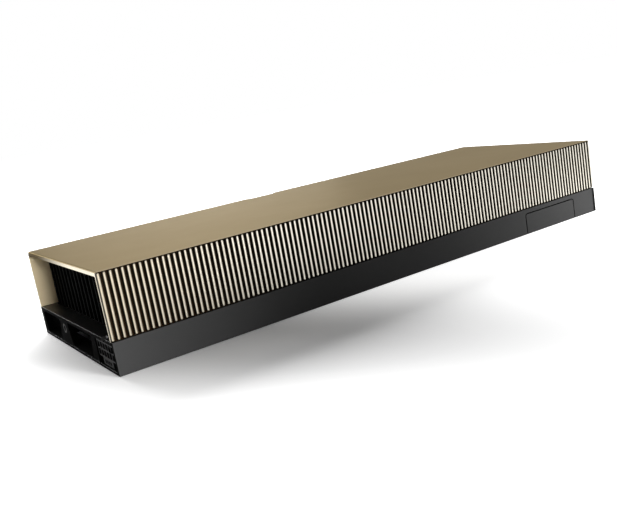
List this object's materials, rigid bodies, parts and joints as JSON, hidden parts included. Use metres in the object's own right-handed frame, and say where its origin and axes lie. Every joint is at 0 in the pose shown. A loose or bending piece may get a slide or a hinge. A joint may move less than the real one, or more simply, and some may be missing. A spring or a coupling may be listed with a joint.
{
  "type": "passive accelerator card",
  "caption": "Passive server accelerator card: gold-toned duct shroud with a ribbed side, black base frame, open air inlet at one end, power header and slot edge connector.",
  "frame": {"origin": "middle of the card's footprint, on the backplate's outer face", "axes": "+X along the card from the air inlet end to the display end, +Y from the ribbed long side to the slot tongue, +Z from the backplate up to the shroud's top"},
  "size_m": [0.267, 0.1112, 0.0382],
  "materials": {
    "shroud_gold": "satin anodised",
    "frame_black": "satin black",
    "backplate_black": "satin black",
    "heatsink_black": "black anodised",
    "plastic_black": "moulded matte",
    "contact_gold": "gold plated",
    "insert_brass": "plain",
    "end_plate_black": "black satin",
    "board_black": "solder mask",
    "package_dark": "matte",
    "stiffener_steel": "brushed",
    "silicon": "polished",
    "paste_grey": "matte",
    "copper": "plain copper",
    "chip_black": "moulded matte",
    "pad_grey": "matte",
    "choke_grey": "matte",
    "can_silver": "satin",
    "socket_steel": "nickel plated",
    "screw_black": "black oxide"
  },
  "bodies": {
    "root": {"shroud": "shroud_gold", "base_frame": "frame_black", "rear_panel": "frame_black", "access_cover": "frame_black", "backplate": "backplate_black", "heatsink": "heatsink_black", "power_socket": "plastic_black", "power_pins": "contact_gold", "sense_pins": "contact_gold", "rear_insert": "insert_brass", "end_plate": "end_plate_black", "circuit_board": "board_black", "edge_contacts": "contact_gold", "processor_package": "package_dark", "package_stiffener": "stiffener_steel", "processor_die": "silicon", "thermal_interface": "paste_grey", "vapour_chamber": "copper", "memory_chips": "chip_black", "memory_pads": "pad_grey", "power_chokes": "choke_grey", "choke_pads": "pad_grey", "power_stages": "chip_black", "input_chokes": "choke_grey", "capacitors": "can_silver", "controller_chips": "chip_black", "sync_header": "plastic_black", "display_sockets": "socket_steel", "display_blades": "plastic_black", "backplate_screws": "screw_black", "cooler_screws": "screw_black", "shroud_screws": "screw_black", "end_plate_screws": "screw_black"}
  },
  "joints": []
}
